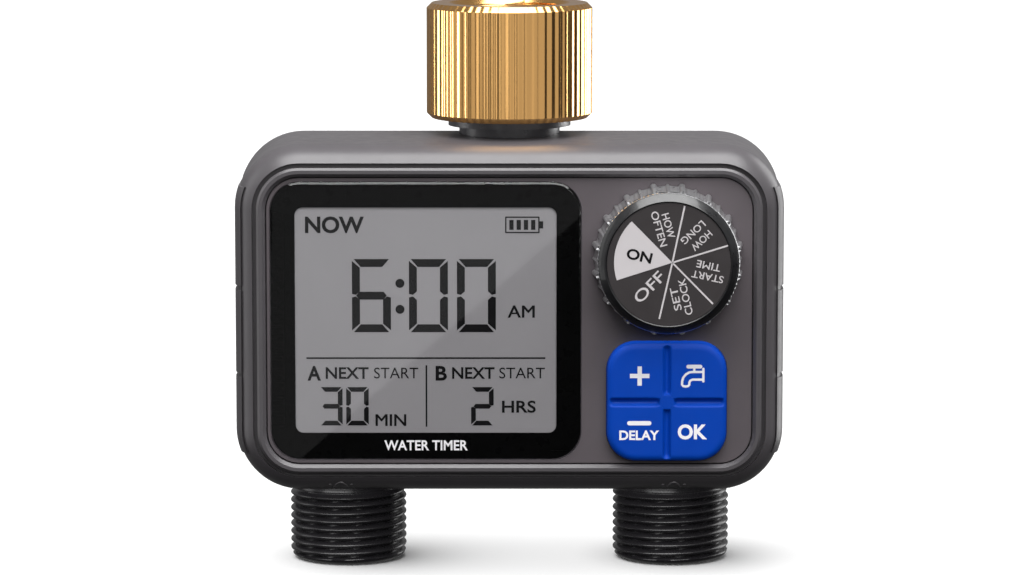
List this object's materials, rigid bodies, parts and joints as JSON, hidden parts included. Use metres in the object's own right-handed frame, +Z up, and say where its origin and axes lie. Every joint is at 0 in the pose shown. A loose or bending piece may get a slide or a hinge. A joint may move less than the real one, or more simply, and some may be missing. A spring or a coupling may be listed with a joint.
{
  "type": "drip irrigation timer",
  "caption": "Battery-powered tap timer with a swivel inlet nut, a display, a selector dial, a key pad and two threaded outlets with their own valves.",
  "frame": {"origin": "middle of the whole object's width and depth, on the plane through the two outlets' ends", "axes": "+X to the right as the display is read, +Y from the display to the battery door, +Z up through the inlet nut"},
  "size_m": [0.1222, 0.068, 0.1266],
  "materials": {
    "case_plastic": "satin dark gunmetal moulded plastic",
    "fascia_plastic": "fine matt moulded plastic",
    "lens_clear": "clear polished window",
    "lens_print": "black print behind the window",
    "lcd_grey": "reflective grey liquid crystal glass",
    "white_plastic": "moulded white plastic",
    "board_green": "solder mask over glass fibre",
    "contact_rubber": "striped conductive elastomer",
    "switch_plastic": "moulded black plastic",
    "dial_gloss": "dark metallic gloss",
    "dial_print": "printed black face",
    "shaft_plastic": "natural acetal",
    "keypad_blue": "matt blue silicone",
    "seal_rubber": "black rubber",
    "brass": "bright machined brass",
    "neck_plastic": "satin grey moulded plastic",
    "outlet_plastic": "satin black moulded plastic",
    "valve_plastic": "black glass-filled nylon",
    "disc_plastic": "natural acetal",
    "steel": "zinc-plated steel",
    "coil_steel": "drawn steel can",
    "spring_steel": "stainless spring wire",
    "filter_mesh": "woven stainless mesh in a moulded rim",
    "lead_sleeve": "red and black insulated wire",
    "cell_sleeve": "plain printed plastic sleeve"
  },
  "bodies": {
    "case": {"front_housing": "case_plastic", "rear_housing": "case_plastic", "case_gasket": "seal_rubber", "case_screws": "steel", "fascia_plate": "fascia_plastic", "display_lens": "lens_clear", "lens_border": "lens_print", "lcd_glass": "lcd_grey", "lcd_frame": "white_plastic", "lcd_connectors": "contact_rubber", "circuit_board": "board_green", "board_screws": "steel", "key_switches": "switch_plastic", "rotary_switch": "switch_plastic", "dial_seal": "seal_rubber", "keypad_mat": "keypad_blue", "swivel_stem": "brass", "inlet_washer": "seal_rubber", "inlet_filter": "filter_mesh", "inlet_neck": "neck_plastic", "neck_seal": "seal_rubber", "valve_manifold": "valve_plastic", "outlet_a": "outlet_plastic", "outlet_b": "outlet_plastic", "outlet_seals": "seal_rubber", "diaphragm_a": "seal_rubber", "diaphragm_b": "seal_rubber", "bonnets": "valve_plastic", "bonnet_screws": "steel", "solenoid_a": "coil_steel", "solenoid_b": "coil_steel", "plunger_spring_a": "spring_steel", "plunger_spring_b": "spring_steel", "solenoid_leads": "lead_sleeve", "battery_leads": "lead_sleeve", "battery_cells": "cell_sleeve", "battery_springs": "spring_steel", "battery_contacts": "spring_steel", "door_gasket": "seal_rubber", "door_pins": "steel"},
    "inlet_nut_body": {"inlet_nut": "brass"},
    "dial_body": {"dial_knob": "dial_gloss", "dial_label": "dial_print", "dial_shaft": "shaft_plastic"},
    "key_plus_body": {"key_plus": "keypad_blue"},
    "key_tap_body": {"key_tap": "keypad_blue"},
    "key_minus_body": {"key_minus": "keypad_blue"},
    "key_ok_body": {"key_ok": "keypad_blue"},
    "battery_door_body": {"battery_door": "case_plastic"},
    "plunger_a_body": {"plunger_a": "steel"},
    "plunger_b_body": {"plunger_b": "steel"},
    "valve_a_body": {"valve_disc_a": "disc_plastic"},
    "valve_b_body": {"valve_disc_b": "disc_plastic"}
  },
  "joints": [
    {"name": "inlet_nut_swivel", "type": "hinge", "parent": "case", "child": "inlet_nut_body", "pos_m": [0, 0.005, 0.11365], "axis": [0, 0, 1], "continuous": true},
    {"name": "dial_turn", "type": "hinge", "parent": "case", "child": "dial_body", "pos_m": [0.0348, -0.024, 0.072], "axis": [0, 1, 0], "continuous": true},
    {"name": "key_plus_press", "type": "slide", "parent": "case", "child": "key_plus_body", "axis": [0, 1, 0], "range_m": [0, 0.001], "stiffness_N_per_m": 800},
    {"name": "key_tap_press", "type": "slide", "parent": "case", "child": "key_tap_body", "axis": [0, 1, 0], "range_m": [0, 0.001], "stiffness_N_per_m": 800},
    {"name": "key_minus_press", "type": "slide", "parent": "case", "child": "key_minus_body", "axis": [0, 1, 0], "range_m": [0, 0.001], "stiffness_N_per_m": 800},
    {"name": "key_ok_press", "type": "slide", "parent": "case", "child": "key_ok_body", "axis": [0, 1, 0], "range_m": [0, 0.001], "stiffness_N_per_m": 800},
    {"name": "battery_door_hinge", "type": "hinge", "parent": "case", "child": "battery_door_body", "pos_m": [0, 0.0324, 0.078], "axis": [1, 0, 0], "range_deg": [0, 95]},
    {"name": "plunger_a_slide", "type": "slide", "parent": "case", "child": "plunger_a_body", "axis": [0, 1, 0], "range_m": [0, 0.0015], "stiffness_N_per_m": 300, "deforming": ["plunger_spring_a"]},
    {"name": "plunger_b_slide", "type": "slide", "parent": "case", "child": "plunger_b_body", "axis": [0, 1, 0], "range_m": [0, 0.0015], "stiffness_N_per_m": 300, "deforming": ["plunger_spring_b"]},
    {"name": "valve_a_lift", "type": "slide", "parent": "case", "child": "valve_a_body", "axis": [0, 1, 0], "range_m": [0, 0.0015], "deforming": ["diaphragm_a"]},
    {"name": "valve_b_lift", "type": "slide", "parent": "case", "child": "valve_b_body", "axis": [0, 1, 0], "range_m": [0, 0.0015], "deforming": ["diaphragm_b"]}
  ],
  "couplings": [
    {"joint": "valve_a_lift", "follows": "plunger_a_slide", "ratio": 1},
    {"joint": "valve_b_lift", "follows": "plunger_b_slide", "ratio": 1}
  ]
}
